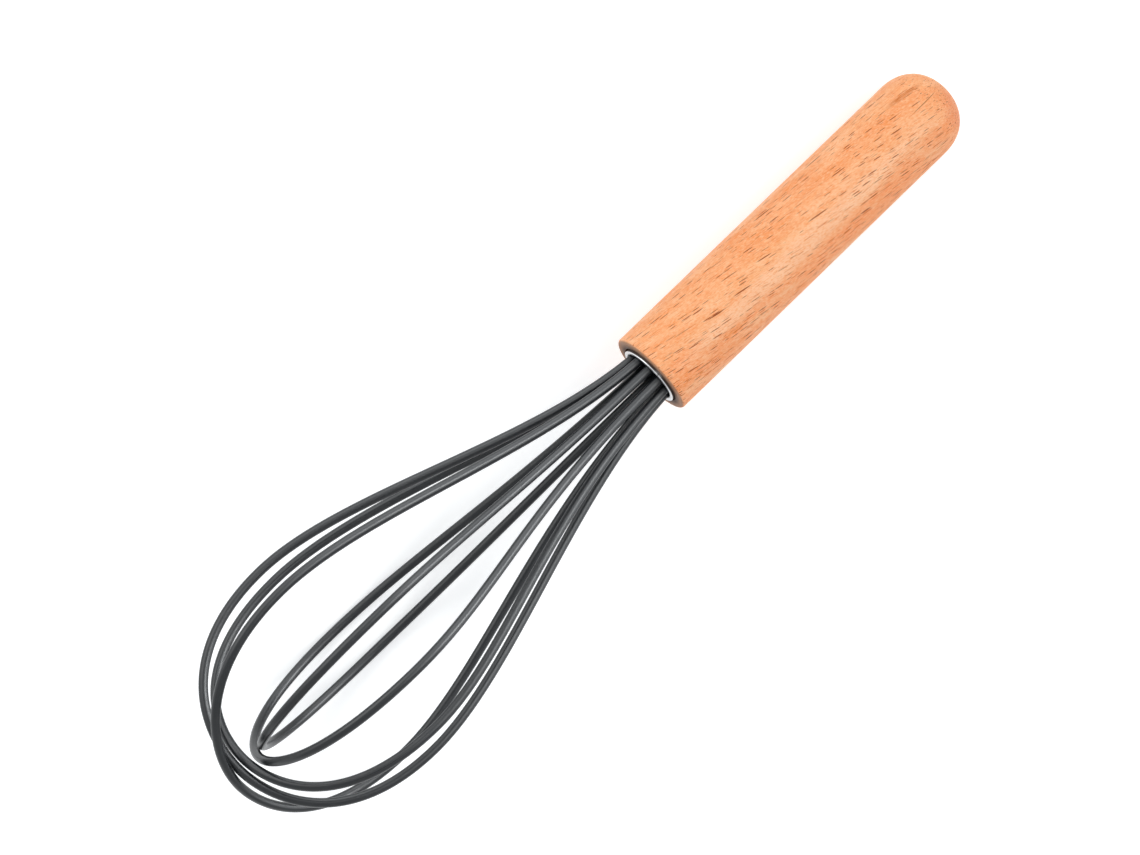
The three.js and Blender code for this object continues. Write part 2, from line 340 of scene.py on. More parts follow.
def beech_finish():
    """Bands and patches of colour, a deeper right-hand side that is partly painted shade, pale places along
    the top that are painted sheen, then fibres, flecks, two flaws near the butt, and the cut end, darkened
    towards the bore as painted shade.
    """
    finish, shader = new_finish("beech")
    own, beside, straight, grain = fibre_coordinates(finish)
    bands = clouds(finish, grain, (120 * MM, 6 * MM, 6 * MM), 2.0)
    patches = clouds(finish, grain, (14 * MM, 3 * MM, 3 * MM), 3.0)
    mottle = clouds(finish, grain, (0.9 * MM, 0.25 * MM, 0.25 * MM), 2.0)
    fibres = clouds(finish, grain, (5 * MM, 0.28 * MM, 0.28 * MM), 3.0, 0.6)
    long_flecks, short_flecks, hairs = (flecks(finish, grain, *f) for f in (LONG_FLECKS, SHORT_FLECKS, HAIRS))
    # The right-hand side is tinted deeper: partly the wood's own band, partly painted shade of that side.
    heart_and_shade = ramp(finish, beside, -2 * MM, 8 * MM)

    wood = mixed(finish, ramp(finish, bands, 0.36, 0.62), BAND_DULL, BAND_BRIGHT)
    wood = mixed(finish, ramp(finish, heart_and_shade, 0.5, 1.0, 0.0, 0.5), wood, HEARTWOOD_AND_SHADE)
    wood = mixed(finish, ramp(finish, patches, 0.45, 0.68, 0.0, 0.7), wood, PATCH_PALE)
    wood = mixed(finish, ramp(finish, patches, 0.45, 0.27, 0.0, 0.7), wood, PATCH_WARM)
    for middle, half, share, colour in BLUSHES_AND_SHEEN:
        spot = blot(finish, own, middle, half)
        wood = mixed(finish, ramp(finish, spot, 0.0, 1.0, 0.0, share), wood, colour)
    wood = mixed(finish, ramp(finish, mottle, 0.5, 0.32, 0.0, 0.6), wood, MOTTLE_WARM)
    wood = mixed(finish, ramp(finish, mottle, 0.5, 0.68, 0.0, 0.6), wood, MOTTLE_PALE)
    wood = mixed(finish, ramp(finish, fibres, 0.45, 0.25, 0.0, 0.6), wood, FIBRE)
    faint = math_of(finish, "MULTIPLY", hairs, ramp(finish, heart_and_shade, 0.0, 1.0, 0.4, 0.95))
    bold = math_of(finish, "MULTIPLY", long_flecks, ramp(finish, heart_and_shade, 0.0, 1.0, 1.0, 0.6))
    for fleck, colour in ((faint, HAIR), (short_flecks, SHORT_FLECK), (bold, LONG_FLECK)):
        wood = mixed(finish, fleck, wood, colour)
    smudge = blot(finish, straight, SMUDGE_PLACE, SMUDGE_HALF)
    streaks = math_of(finish, "MULTIPLY", smudge, ramp(finish, fibres, 0.65, 0.35, 0.4, 1.0))
    wood = mixed(finish, streaks, wood, SMUDGE)
    check = blot(finish, own, CHECK_PLACE, CHECK_HALF)
    wood = mixed(finish, ramp(finish, check, 0.0, 0.6, 0.0, 0.7), wood, CHECK)
    cut = mark(finish, "end_grain_and_shade")
    wood = mixed(finish, ramp(finish, cut, 0.0, 0.5, 0.0, 0.85), wood, END_GRAIN)
    # Towards the bore the cut end is darkened as painted shade.
    wood = mixed(finish, ramp(finish, cut, 0.5, 0.95, 0.0, 0.9), wood, BORE_SHADE)

    pores = math_of(finish, "MAXIMUM", short_flecks, long_flecks)
    dents = math_of(finish, "SUBTRACT", math_of(finish, "MULTIPLY", fibres, 0.25), pores)
    bump = bumps(finish, dents, 0.03 * MM, 0.3)
    gloss = ramp(finish, patches, 0.3, 0.7, 0.50, 0.42)
    fill(finish, shader, {"Base Color": wood, "Roughness": gloss, "Normal": bump, "Specular IOR Level": 0.08})
    return finish


beech = beech_finish()
print("beech:", len(beech.node_tree.nodes), "nodes")

# %% [markdown]
# The handle is turned on a lathe, so one outline spun round the axis makes all of it. It runs from the tip
# of the full, slightly square dome along the straight grip, over the softened edge of the mouth and down the
# bore. A superellipse gives the dome: an ellipse whose power is a little over two. The flat end of
# the grip is cut across the fibres and drinks the oil, so an attribute marks it as end grain; towards the
# bore the same attribute darkens it as painted shade.

# %% The handle
WIRE_RADIUS = 0.6 * MM
WIRE_PLAY = 0.2 * MM
SLEEVE_WALL, PLUG_WALL, FERRULE_WALL, HANDLE_WALL = 0.5 * MM, 0.45 * MM, 0.5 * MM, 3.2 * MM
PLAY = 0.3 * MM         # left round the sleeves, the plug and the ferrule
STRANDS = 10
ROOT_GAP = 1.2 * MM     # between neighbouring strands at the plug
SLEEVE_BORE = WIRE_RADIUS + WIRE_PLAY
SLEEVE_RADIUS = SLEEVE_BORE + SLEEVE_WALL
ROOT_RADIUS = (SLEEVE_RADIUS + ROOT_GAP / 2) / math.sin(math.pi / STRANDS)
HOLE_RADIUS = SLEEVE_RADIUS + PLAY
PLUG_RADIUS = ROOT_RADIUS + HOLE_RADIUS + PLUG_WALL
FERRULE_INNER = PLUG_RADIUS + PLAY
FERRULE_OUTER = FERRULE_INNER + FERRULE_WALL
BORE_RADIUS = FERRULE_OUTER + PLAY
BORE_DEPTH = 24.3 * MM
BORE_EASE = 0.3 * MM
HANDLE_RADIUS = BORE_RADIUS + HANDLE_WALL
HANDLE_LENGTH = 114.2 * MM
DOME_DEPTH = 12.6 * MM
DOME_FULLNESS = 2.27
MOUTH_ROUND = 0.8 * MM
HANDLE_SIDES = 144
DOME_STEPS, GRIP_STEPS, EDGE_STEPS, FACE_STEPS, EASE_STEPS = 40, 60, 10, 6, 5
EDGE_SHARE = 0.55   # of the softened edge that is cut across the fibres


def quarter(steps):
    """Angles from 0 to a right angle in even steps."""
    return np.linspace(0, math.pi / 2, steps)


def handle_outline():
    """Radius and place along the axis: superellipse, straight line, quarter circle, then the bore."""
    a = quarter(DOME_STEPS)
    dome_r = HANDLE_RADIUS * np.sin(a) ** (2 / DOME_FULLNESS)
    dome_s = DOME_DEPTH - HANDLE_LENGTH - DOME_DEPTH * np.maximum(np.cos(a), 0) ** (2 / DOME_FULLNESS)
    grip_s = np.linspace(dome_s[-1], -MOUTH_ROUND, GRIP_STEPS)[1:-1]
    b = quarter(EDGE_STEPS)
    edge_r = HANDLE_RADIUS - MOUTH_ROUND * (1 - np.cos(b))
    edge_s = -MOUTH_ROUND * (1 - np.sin(b))
    face_r = np.linspace(edge_r[-1], BORE_RADIUS + BORE_EASE, FACE_STEPS)[1:-1]
    c = quarter(EASE_STEPS)
    ease_r = BORE_RADIUS + BORE_EASE * (1 - np.sin(c))
    ease_s = -BORE_EASE * (1 - np.cos(c))
    bore_s = np.array([-BORE_DEPTH / 2, -BORE_DEPTH, -BORE_DEPTH])
    bore_r = np.array([BORE_RADIUS, BORE_RADIUS, 0])
    r = np.concatenate([dome_r, np.full(len(grip_s), HANDLE_RADIUS), edge_r, face_r, ease_r, bore_r])
    s = np.concatenate([dome_s, grip_s, edge_s, np.zeros(len(face_r)), ease_s, bore_s])
    return r, s


def turned(r, s, sides):
    """The outline spun round the axis: (s, r cos a, r sin a)."""
    a = np.linspace(0, 2 * math.pi, sides, endpoint=False)
    points = laid_down(s[:, None], r[:, None] * np.cos(a), r[:, None] * np.sin(a))
    return points.reshape(-1, 3), grid_quads(len(r), sides, True)


# Above a half, this value darkens the cut end towards the bore as painted shade.
def end_grain_and_shade(points):
    """0 on the side, a half over the softened edge of the mouth, rising to 1 at the bore and inside it."""
    offset = points - mouth
    s = offset @ along
    r = np.linalg.norm(offset - s[:, None] * along, axis=1)
    edge = np.clip(s / (EDGE_SHARE * MOUTH_ROUND) + 1, 0, 1)
    rim = HANDLE_RADIUS - MOUTH_ROUND
    inwards = np.clip((rim - r) / (rim - BORE_RADIUS), 0, 1)
    bore = (r < BORE_RADIUS + BORE_EASE) & (s > -BORE_DEPTH - MM)
    return np.where(bore, 1.0, edge * (1 + inwards) / 2)


handle_points, handle_faces = welded(*turned(*handle_outline(), HANDLE_SIDES))
handle = add_piece("beech_handle", handle_points, handle_faces, beech, "beech", "handle")
store(handle, "end_grain_and_shade", end_grain_and_shade(handle_points))

# %% [markdown]
# The loops' silicone is smooth, dark and slightly dusty. Its look is nearly all sheen: the colour is
# close to black, and the grey that the eye sees is light spread along each strand. Fine
# lines along the strand come from drawing the tube through its die, so they follow the strand's own map.

# %% Silicone
SILICONE_DARK, SILICONE_BLOOM = (0.008, 0.0095, 0.0115, 1), (0.014, 0.0155, 0.0175, 1)
SILICONE_SPECK = (0.034, 0.036, 0.038, 1)
SILICONE_IOR = 1.43


def silicone_finish():
    """Near-black with a cloudy bloom and fine specks, its gloss and relief drawn out along the strand."""
    finish, shader = new_finish("silicone")
    coordinates = add_node(finish, "TexCoord", {})
    place, strand = coordinates.outputs["Object"], coordinates.outputs["UV"]
    die_lines = clouds(finish, strand, (60 * MM, 0.04, 1.0), 3.0, 0.6)
    bloom = clouds(finish, place, (9 * MM, 9 * MM, 9 * MM), 4.0, 0.6)
    speckle = clouds(finish, place, (0.3 * MM, 0.3 * MM, 0.3 * MM), 2.0)
    colour = mixed(finish, ramp(finish, bloom, 0.3, 0.7), SILICONE_DARK, SILICONE_BLOOM)
    colour = mixed(finish, ramp(finish, speckle, 0.62, 0.75, 0.0, 0.3), colour, SILICONE_SPECK)
    gloss = ramp(finish, die_lines, 0.3, 0.7, 0.27, 0.36)
    relief = math_of(finish, "ADD", die_lines, math_of(finish, "MULTIPLY", speckle, 0.6))
    bump = bumps(finish, relief, 0.02 * MM, 0.35)
    fill(finish, shader, {"Base Color": colour, "Roughness": gloss, "Normal": bump, "IOR": SILICONE_IOR})
    return finish


silicone = silicone_finish()
print("silicone:", len(silicone.node_tree.nodes), "nodes")

# %% [markdown]
# Each loop is one long strand. It leaves the plug straight, swings out to its belly, rounds the crown and
# comes back on the other side. Two Bezier curves make half of it in a flat plane; the other half is its
# mirror image. The makers bend loops by hand, so each plane is turned by a twist and pushed aside by a sway
# that grow from the plug to the belly, and bowed between them. The crowns lie one inside the next, so that no
# two strands meet.

# %% The loops' paths
PLUG_RECESS = 6 * MM
STRAND_INSERT = 12 * MM
BALLOON_LENGTH = 156.5 * MM
CROWN_GAP = 0.2 * MM
CROWN_STEP = 2 * SLEEVE_RADIUS + CROWN_GAP
BELLY_BACK = 41 * MM
BELLY_PULL = 31 * MM
CROWN_PULL = 32 * MM
CROWN_SPREAD = 13 * MM
FIRST_LOOP_ANGLE = -36
INNER_DROP = 0.7
LOOP_BELLY = (35.5, 33, 31, 32.5, 31.2)         # mm from the axis
LOOP_ROOT = (46, 40, 40, 60, 65)                # mm that the curve is pulled straight out of the plug
LOOP_SWAY = (0.3, -1.5, -1.5, 1.7, -1.3)        # mm aside at the belly
LOOP_BOW = (-0.6, 0, -1.2, -0.4, 0.2)           # mm aside on the way to the belly
LOOP_TWIST = (1, 8, -8, 4, -6)                  # degrees at the belly
LOOP_DROP = (0, 0, 0, INNER_DROP, INNER_DROP)   # mm that the crown lies further back
STRAND_STEP = 0.8 * MM
CURVE_STEPS, ROOT_STEPS = 400, 40


def bezier(p, q, r, e, steps):
    """(1-t)^3 p + 3 t (1-t)^2 q + 3 t^2 (1-t) r + t^3 e, for t from 0 to 1."""
    t = np.linspace(0, 1, steps)[:, None]
    return (1 - t) ** 3 * p + 3 * t * (1 - t) ** 2 * q + 3 * t ** 2 * (1 - t) * r + t ** 3 * e


def evenly(points, step):
    """The same line with points an even step apart, and each point's distance from the start."""
    walked = np.concatenate([[0], np.cumsum(np.linalg.norm(np.diff(points, axis=0), axis=1))])
    stops = np.linspace(0, walked[-1], round(walked[-1] / step) + 1)
    return np.column_stack([np.interp(stops, walked, points[:, n]) for n in range(3)]), stops


def loop_path(index):
    """Points of one loop in whisk coordinates, their distances along it, and the loop plane's direction."""
    crown = BALLOON_LENGTH - index * CROWN_STEP - LOOP_DROP[index] * MM
    belly_s, belly_r = crown - BELLY_BACK, LOOP_BELLY[index] * MM
    root_aim = LOOP_ROOT[index] * MM - PLUG_RECESS
    end = np.array([-PLUG_RECESS - STRAND_INSERT, ROOT_RADIUS])
    face = np.array([-PLUG_RECESS, ROOT_RADIUS])
    belly = np.array([belly_s, belly_r])
    swing = bezier(face, (root_aim, ROOT_RADIUS), (belly_s - BELLY_PULL, belly_r), belly, CURVE_STEPS)
    cap = bezier(belly, (belly_s + CROWN_PULL, belly_r), (crown, CROWN_SPREAD), (crown, 0), CURVE_STEPS)
    half = np.concatenate([np.linspace(end, face, ROOT_STEPS), swing[1:], cap[1:]])
    s = np.concatenate([half[:, 0], half[-2::-1, 0]])
    r = np.concatenate([half[:, 1], -half[-2::-1, 1]])
    t = np.clip((s + PLUG_RECESS) / (belly_s + PLUG_RECESS), 0, 1)
    bent = t * t * (3 - 2 * t)
    turn = FIRST_LOOP_ANGLE + index * 360 / STRANDS
    angle = np.radians(turn + LOOP_TWIST[index] * bent)
    aside = LOOP_SWAY[index] * bent + LOOP_BOW[index] * 4 * bent * (1 - bent)
    y = r * np.cos(angle) + aside * MM
    line, walked = evenly(np.column_stack([s, y, r * np.sin(angle)]), STRAND_STEP)
    plane = math.radians(turn)
    return line, walked, np.array([0, -math.sin(plane), math.cos(plane)])


paths = [loop_path(index) for index in range(len(LOOP_BELLY))]
print("loop lengths in mm:", [round(walked[-1] / MM) for _, walked, _ in paths])

# %% [markdown]
# A strand is its path with a circle carried along it. The circle needs two directions square to the path; one
# is the loop plane's own normal made square to the path, so the section never spins. Both the outside
# and the bore are drawn, with a narrow ring at each end, so the sleeve is a real tube round its wire.

# %% The silicone sleeves
SLEEVE_SIDES = 20
SLEEVE_CREASE = 60


def circles(line, normal, radius, sides):
    """line + radius (cos v * across + sin v * over), with over the normal made square to the line."""
    ahead = np.gradient(line, axis=0)
    ahead /= np.linalg.norm(ahead, axis=1, keepdims=True)
    over = normal - (ahead @ normal)[:, None] * ahead
    over /= np.linalg.norm(over, axis=1, keepdims=True)
    across = np.cross(over, ahead)
    v = np.linspace(0, 2 * math.pi, sides, endpoint=False)[None, :, None]
    rings = line[:, None] + radius * (np.cos(v) * across[:, None] + np.sin(v) * over[:, None])
    return laid_down(*np.moveaxis(rings.reshape(-1, 3), 1, 0))


def strand_map(mesh, walked, sides):
    """A map whose first number is the distance along the strand in metres and second the share of a turn."""
    corners = np.zeros(len(mesh.loops), np.int64)
    mesh.loops.foreach_get("vertex_index", corners)
    row, column = np.divmod(np.minimum(corners, len(walked) * sides - 1), sides)
    first = np.zeros(len(mesh.polygons), np.int64)
    count = np.zeros(len(mesh.polygons), np.int64)
    mesh.polygons.foreach_get("loop_start", first)
    mesh.polygons.foreach_get("loop_total", count)
    widest = np.maximum.reduceat(column, first)
    over_seam = np.repeat(widest == sides - 1, count) & (column == 0)
    layer = mesh.uv_layers.new(name="strand")
    flat = np.column_stack([walked[row], (column + sides * over_seam) / sides])
    layer.data.foreach_set("uv", flat.astype(np.float32).reshape(-1))


def sleeve(index):
    """Two rings of points at each step of the path, skin and bore, with flat rings closing both ends."""
    line, walked, normal = paths[index]
    rows = len(line)
    outside = circles(line, normal, SLEEVE_RADIUS, SLEEVE_SIDES)
    inside = circles(line, normal, SLEEVE_BORE, SLEEVE_SIDES)
    skin = grid_quads(rows, SLEEVE_SIDES, True)
    bore = skin[:, ::-1] + len(outside)
    ends = []
    for row, order in ((0, 1), (rows - 1, -1)):
        rim = row * SLEEVE_SIDES + np.arange(SLEEVE_SIDES)
        ring = np.column_stack([rim, rim + len(outside), np.roll(rim, -1) + len(outside), np.roll(rim, -1)])
        ends.append(ring[:, ::order])
    name = "loop_%d_sleeve" % (index + 1)
    points, faces = np.concatenate([outside, inside]), [np.concatenate([skin, bore, *ends])]
    piece = add_piece("silicone_" + name, points, faces, silicone, "silicone", name, SLEEVE_CREASE)
    strand_map(piece.data, np.concatenate([walked, walked]), SLEEVE_SIDES)


for index in range(len(paths)):
    sleeve(index)

# %% [markdown]
# The core wires give the loops their spring. They stay out of sight inside the sleeves, but they are part of
# the whisk, and anyone who cuts a strand open should find a round drawn wire with fine lines along it.

# %% The core wires
WIRE_SIDES = 10
WIRE_CREASE = 50
WIRE_DULL, WIRE_BRIGHT = (0.30, 0.31, 0.32, 1), (0.42, 0.43, 0.44, 1)


def wire_finish():
    """Bare steel whose colour and gloss vary in fine lines along the wire."""
    finish, shader = new_finish("drawn_wire")
    strand = add_node(finish, "TexCoord", {}).outputs["UV"]
    draw_lines = clouds(finish, strand, (25 * MM, 0.05, 1.0), 3.0, 0.6)
    colour = mixed(finish, draw_lines, WIRE_DULL, WIRE_BRIGHT)
    gloss = ramp(finish, draw_lines, 0.3, 0.7, 0.28, 0.42)
    fill(finish, shader, {"Base Color": colour, "Roughness": gloss, "Metallic": 1.0})
    return finish


drawn_wire = wire_finish()


def wire(index):
    """One ring of points at each step of the path, with a flat cap at both ends."""
    line, walked, normal = paths[index]
    points = circles(line, normal, WIRE_RADIUS, WIRE_SIDES)
    last = len(points) - WIRE_SIDES
    caps = [np.arange(WIRE_SIDES)[None, ::-1], np.arange(last, last + WIRE_SIDES)[None]]
    name = "loop_%d_wire" % (index + 1)
    faces = [grid_quads(len(line), WIRE_SIDES, True), *caps]
    piece = add_piece("core_" + name, points, faces, drawn_wire, "wire_steel", name, WIRE_CREASE)
    strand_map(piece.data, walked, WIRE_SIDES)


for index in range(len(paths)):
    wire(index)

# %% [markdown]
# The ferrule is a strip of bright steel rolled into a ring, with its two ends meeting at a seam. Its section
# is a thin strip with an oval lip turned in towards the strands, carried round the axis from one side of the
# seam to the other. Behind the lip, down to the wood, it is painted dark brown as shade, so only the lip
# stays bright, and its inner wall is painted paler as light. Rolling never closes such a seam quite flat, so
# the corners beside it stand a touch proud.

# %% The ferrule
FERRULE_PROUD = 0.75 * MM
FERRULE_LENGTH = 24.75 * MM
LIP_REACH = 0.6 * MM    # of the lip inwards past the wall
LIP_DEPTH = 0.22 * MM
LIP_UNDERCUT = 0.3 * MM
LIP_STEPS = 17
SEAM_ANGLE = math.radians(87)
SEAM_GAP = 0.16 * MM
SEAM_LIFT = 0.12 * MM
SEAM_REACH = 0.9 * MM
# Where the painted shade behind the lip ends, and how fast it fades.
SHADE_BEHIND_LIP_END = 0.52 * MM
SHADE_BEHIND_LIP_FADE = 0.2 * MM
FERRULE_SIDES = 160
HIDDEN_STEPS, PROUD_STEPS, INNER_STEPS = 12, 15, 25
FERRULE_CREASE = 40
STEEL_DULL, STEEL_BRIGHT = (0.66, 0.67, 0.69, 1), (0.78, 0.785, 0.79, 1)
# The paler inner colour is painted light; the dark brown is painted shade on the outer wall behind the lip.
PAINTED_LIGHT_INSIDE, SHADE_BEHIND_LIP = (0.93, 0.94, 0.94, 1), (0.05, 0.032, 0.022, 1)


def steel_finish():
    """Bright steel with polishing lines round the axis; duller inside and painted paler there as light, and
    painted dark behind the lip as shade.
    """
    finish, shader = new_finish("ferrule_steel")
    place = add_node(finish, "TexCoord", {}).outputs["Object"]
    straight = mapped(finish, place, Rotation=axes_turn(along, sideways))
    polish = clouds(finish, straight, (0.05 * MM, 8 * MM, 8 * MM), 3.0, 0.6)
    smears = clouds(finish, straight, (3 * MM, 3 * MM, 3 * MM), 3.0)
    inside, shade_behind_lip = mark(finish, "inside"), mark(finish, "shade_behind_lip")
    colour = mixed(finish, smears, STEEL_DULL, STEEL_BRIGHT)
    # The inner wall gets a paler colour as painted light, and the strip behind the lip dark brown as painted
    # shade.
    colour = mixed(finish, shade_behind_lip, mixed(finish, inside, colour, PAINTED_LIGHT_INSIDE), SHADE_BEHIND_LIP)
    inside_and_shade = math_of(finish, "MULTIPLY", math_of(finish, "ADD", inside, shade_behind_lip), 0.5)
    dull = math_of(finish, "MAXIMUM", ramp(finish, polish, 0.3, 0.7, 0.28, 0.42), inside_and_shade)
    metal = math_of(finish, "SUBTRACT", ramp(finish, inside, 0.0, 1.0, 1.0, 0.4), shade_behind_lip)
    bump = bumps(finish, polish, 0.01 * MM, 0.3)
    fill(finish, shader, {"Base Color": colour, "Roughness": dull, "Metallic": metal, "Normal": bump})
    return finish


def ferrule_section():
    """Place and radius round the strip: outside, half-oval lip, inside; then marks of inside and of the
    painted shade behind the lip.
    """
    lip_inner = FERRULE_INNER - LIP_REACH
    half = (FERRULE_OUTER - lip_inner) / 2
    middle = lip_inner + half
    lip = np.linspace(math.pi / 2, -math.pi / 2, LIP_STEPS)
    front = FERRULE_PROUD - LIP_DEPTH
    back = FERRULE_PROUD - FERRULE_LENGTH
    hidden_s = np.linspace(back, -MM, HIDDEN_STEPS)[:-1]
    outer_s = np.concatenate([hidden_s, np.linspace(-MM, front, PROUD_STEPS)[:-1]])
    inner_s = np.linspace(front - LIP_UNDERCUT, back, INNER_STEPS)
    s = np.concatenate([outer_s, front + LIP_DEPTH * np.cos(lip), inner_s])
    r = np.concatenate([np.full(len(outer_s), FERRULE_OUTER), middle + half * np.sin(lip),
                        np.full(len(inner_s), FERRULE_INNER)])
    inside = (np.arange(len(s)) >= len(outer_s) + LIP_STEPS).astype(float)
    # Painted shade on the outer wall, from the back of the lip down to the wood.
    shade_behind_lip = (1 - inside) * (r > middle) * np.clip((SHADE_BEHIND_LIP_END - s) / SHADE_BEHIND_LIP_FADE, 0, 1)
    return s, r, inside, shade_behind_lip


def ferrule():
    """The section carried round the axis, flared by a bell curve of the distance to the seam."""
    s, r, inside, shade_behind_lip = ferrule_section()
    half_gap = SEAM_GAP / 2 / FERRULE_OUTER
    turn = np.linspace(half_gap, 2 * math.pi - half_gap, FERRULE_SIDES)[:, None]
    to_seam = np.minimum(turn, 2 * math.pi - turn) * FERRULE_OUTER
    near_seam = np.exp(-(to_seam / SEAM_REACH) ** 2)
    radius = r + SEAM_LIFT * near_seam * np.clip(s / FERRULE_PROUD, 0, 1)
    angle = SEAM_ANGLE + turn
    points = laid_down(s[None], radius * np.cos(angle), radius * np.sin(angle)).reshape(-1, 3)
    count = len(s)
    caps = [np.arange(count)[None, ::-1], np.arange(count)[None] + (FERRULE_SIDES - 1) * count]
    faces = [grid_quads(FERRULE_SIDES, count, True), *caps]
    steel = steel_finish()
    piece = add_piece("rolled_ferrule", points, faces, steel, "ferrule_steel", "ferrule", FERRULE_CREASE)
    for name, values in (("inside", inside + 0 * turn), ("shade_behind_lip", shade_behind_lip * (1 - near_seam))):
        store(piece, name, values)


ferrule()

# %% [markdown]
# Inside the ferrule a moulded plug holds the ten strand ends. Little of it shows between the strands, but
# from the balloon's end its face is in plain view. One tenth of the face is a patch between a hole and the
# edges of a slice of cake; ten turns of it make the whole. A low collar rises round each hole.

# %% The plug
PLUG_LENGTH = 18 * MM
PLUG_CHAMFER = 0.6 * MM
HUB_RADIUS = 2 * MM
COLLAR_HEIGHT = 0.5 * MM
HOLE_DEPTH = STRAND_INSERT + PLAY
SLICE_STEPS = 10
COLLAR_RINGS = 7
PLUG_CREASE = 40
PLUG_DARK, PLUG_PALE = (0.022, 0.022, 0.023, 1), (0.040, 0.040, 0.041, 1)


def plug_finish():
    """Black moulded plastic with a fine even texture and soft flow clouds."""
    finish, shader = new_finish("plug")
    place = add_node(finish, "TexCoord", {}).outputs["Object"]
    texture = clouds(finish, place, (0.25 * MM, 0.25 * MM, 0.25 * MM), 2.0)
    flow = clouds(finish, place, (4 * MM, 4 * MM, 4 * MM), 3.0)
    colour = mixed(finish, flow, PLUG_DARK, PLUG_PALE)
    gloss = ramp(finish, flow, 0.3, 0.7, 0.55, 0.70)
    bump = bumps(finish, texture, 0.03 * MM, 0.4)
    fill(finish, shader, {"Base Color": colour, "Roughness": gloss, "Normal": bump})
    return finish


def slice_edge(rim):
    """Radius and angle round the edge of one tenth of the face, starting at its inner corner."""
    step = np.linspace(0, 1, SLICE_STEPS, endpoint=False)
    half = math.pi / STRANDS
    outwards = HUB_RADIUS + (rim - HUB_RADIUS) * step
    r = np.concatenate([outwards, np.full(SLICE_STEPS, rim), rim + HUB_RADIUS - outwards,
                        np.full(SLICE_STEPS, HUB_RADIUS)])
    a = np.concatenate([np.full(SLICE_STEPS, -half), half * (2 * step - 1), np.full(SLICE_STEPS, half),
                        half * (1 - 2 * step)])
    return r, a


def hole_slice():
    """Rows from the hole's floor up its wall, over the collar and out to the slice's edge: (s, x, y)."""
    r, a = slice_edge(PLUG_RADIUS - PLUG_CHAMFER)
    edge = np.column_stack([r * np.cos(a), r * np.sin(a)])
    middle = np.array([ROOT_RADIUS, 0])
    heading = (edge - middle) / np.linalg.norm(edge - middle, axis=1, keepdims=True)
    hole = middle + HOLE_RADIUS * heading
    share = np.linspace(0, 1, COLLAR_RINGS)[:, None, None]
    flat = hole + share * (edge - hole)
    rise = COLLAR_HEIGHT * (1 - share[:, :, 0]) ** 2 * np.ones(len(r))
    face = np.dstack([rise - PLUG_RECESS, flat])
    floor = np.full((len(r), 1), -PLUG_RECESS - HOLE_DEPTH)
    wall = np.column_stack([floor, hole])[None]
    pit = np.column_stack([floor, np.tile(middle, (len(r), 1))])[None]
    return np.concatenate([pit, wall, face])


def plug():
    """Ten turned copies of the slice, a flat hub, and an outline spun round the axis for side and foot."""
    patch = hole_slice()
    rows, columns = patch.shape[:2]
    turns = np.radians(FIRST_LOOP_ANGLE + np.arange(STRANDS) * 360 / STRANDS)[:, None]
    cos, sin = np.cos(turns), np.sin(turns)
    s, x, y = (patch[..., n].reshape(1, -1) for n in range(3))
    face = np.stack([s + 0 * turns, x * cos - y * sin, x * sin + y * cos], -1)
    quads = [grid_quads(rows, columns, True) + n * rows * columns for n in range(STRANDS)]
    around = np.linspace(0, 2 * math.pi, STRANDS * SLICE_STEPS, endpoint=False)
    a = np.radians(FIRST_LOOP_ANGLE - 180 / STRANDS) + around
    rim = PLUG_RADIUS - PLUG_CHAMFER
    foot = -PLUG_RECESS - PLUG_LENGTH
    side_r = np.array([rim, PLUG_RADIUS, PLUG_RADIUS, 0])[:, None]
    side_s = np.array([-PLUG_RECESS, -PLUG_RECESS - PLUG_CHAMFER, foot, foot])[:, None]
    side = np.stack([side_s + 0 * a, side_r * np.cos(a), side_r * np.sin(a)], -1)
    hub_r = np.array([0, HUB_RADIUS])[:, None]
    hub = np.stack([0 * a - PLUG_RECESS + 0 * hub_r, hub_r * np.cos(a), hub_r * np.sin(a)], -1)
    grown = STRANDS * rows * columns
    quads.append(grid_quads(len(side), len(a), True)[:, ::-1] + grown)
    quads.append(grid_quads(len(hub), len(a), True)[:, ::-1] + grown + len(side) * len(a))
    points = np.concatenate([part.reshape(-1, 3) for part in (face, side, hub)])
    return welded(laid_down(*points.T), np.concatenate(quads))


add_piece("strand_plug", *plug(), plug_finish(), "plug", "wire_plug", PLUG_CREASE)

# %% [markdown]
# The photograph's table is so white that only a breath of shadow is left near the strands. The
# floor is a plain white sheet. What the lens, metal and gloss see of it is partly its own glow at full
# white, so it stays white without more light on the whisk, and the rest is painted by light and shadow.

# %% The floor
FLOOR_REACH = 3.0
FLOOR_POINTS = 9
FLOOR_GLOW = 0.36
PAPER = (0.92, 0.93, 0.94, 1)
WHITE = (1, 1, 1, 1)


def rays(graph):
    """Two numbers: 1 for rays from the camera, and 1 for rays from gloss or through glass."""
    path = add_node(graph, "LightPath", {}).outputs
    gloss = math_of(graph, "MAXIMUM", path["Is Glossy Ray"], path["Is Transmission Ray"])
    return path["Is Camera Ray"], gloss


def floor_finish():
    """Plain paper with a glow that only the lens, metal and gloss see."""
    finish, shader = new_finish("white_floor")
    finish.node_tree.nodes.remove(shader)
    paper = add_node(finish, "BsdfDiffuse", {"Color": PAPER}).outputs[0]
    seen = math_of(finish, "MAXIMUM", *rays(finish))
    strength = math_of(finish, "MULTIPLY", seen, FLOOR_GLOW)
    glow = add_node(finish, "Emission", {"Color": WHITE, "Strength": strength}).outputs[0]
    both = add_node(finish, "AddShader", {0: paper, 1: glow}).outputs[0]
    finish.node_tree.links.new(both, finish.node_tree.nodes["Material Output"].inputs["Surface"])
    return finish


